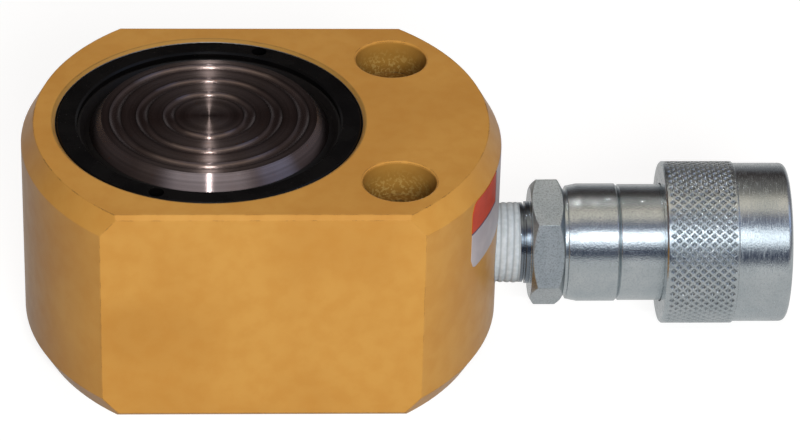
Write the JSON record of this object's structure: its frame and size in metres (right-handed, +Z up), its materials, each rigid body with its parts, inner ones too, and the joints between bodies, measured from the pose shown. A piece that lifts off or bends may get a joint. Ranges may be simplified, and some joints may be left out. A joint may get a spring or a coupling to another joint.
{
  "type": "flat hydraulic cylinder",
  "caption": "Low-height single-acting hydraulic cylinder: flat-sided body, grooved spring-return plunger, counterbored mounting holes and a knurled screw coupler half.",
  "frame": {"origin": "on the plunger's axis, in the plane of the base that the cylinder stands on", "axes": "+Z up along the plunger's travel, +X from the plunger towards the port and coupler, so the milled flats face -Y and +Y"},
  "size_m": [0.1646, 0.0768, 0.0509],
  "materials": {
    "yellow_paint": "gloss enamel over machined steel",
    "black_oxide": "black oxide with an oil sheen",
    "plunger_steel": "turned bright steel",
    "zinc_plate": "bright zinc plate",
    "spring_steel": "oiled drawn wire",
    "bearing_bronze": "satin",
    "black_rubber": "matte",
    "seal_polyurethane": "satin",
    "white_ptfe": "waxy matte"
  },
  "bodies": {
    "cylinder": {"cylinder_body": "yellow_paint", "stop_ring": "black_oxide", "rod_wiper": "black_rubber", "gland_bearing": "bearing_bronze", "return_spring": "spring_steel", "thread_seal_tape": "white_ptfe", "coupler_adapter": "zinc_plate", "adapter_o_ring": "black_rubber", "valve_housing": "zinc_plate", "valve_spring_seat": "plunger_steel", "valve_spring": "spring_steel", "nose_o_ring": "black_rubber", "nose_backup_ring": "white_ptfe"},
    "plunger": {"plunger": "plunger_steel", "piston_seal": "seal_polyurethane", "seal_expander": "black_rubber", "piston_backup_ring": "white_ptfe", "piston_wear_ring": "bearing_bronze"},
    "thrust_washer": {"collar_thrust_washer": "zinc_plate"},
    "collar": {"coupler_collar": "zinc_plate"},
    "poppet": {"valve_poppet": "plunger_steel", "poppet_seal": "black_rubber"}
  },
  "joints": [
    {"name": "plunger_slide", "type": "slide", "parent": "cylinder", "child": "plunger", "axis": [0, 0, 1], "range_m": [0, 0.011], "stiffness_N_per_m": 1340, "springref_m": -0.031, "deforming": ["return_spring"]},
    {"name": "collar_slide", "type": "slide", "parent": "cylinder", "child": "thrust_washer", "axis": [1, 0, 0], "range_m": [-0.0213, 0]},
    {"name": "collar_spin", "type": "hinge", "parent": "thrust_washer", "child": "collar", "pos_m": [0.11, 0, 0.0187], "axis": [1, 0, 0], "continuous": true},
    {"name": "valve_slide", "type": "slide", "parent": "cylinder", "child": "poppet", "axis": [-1, 0, 0], "range_m": [0, 0.0045], "stiffness_N_per_m": 2500, "springref_m": -0.004, "deforming": ["valve_spring"]}
  ]
}
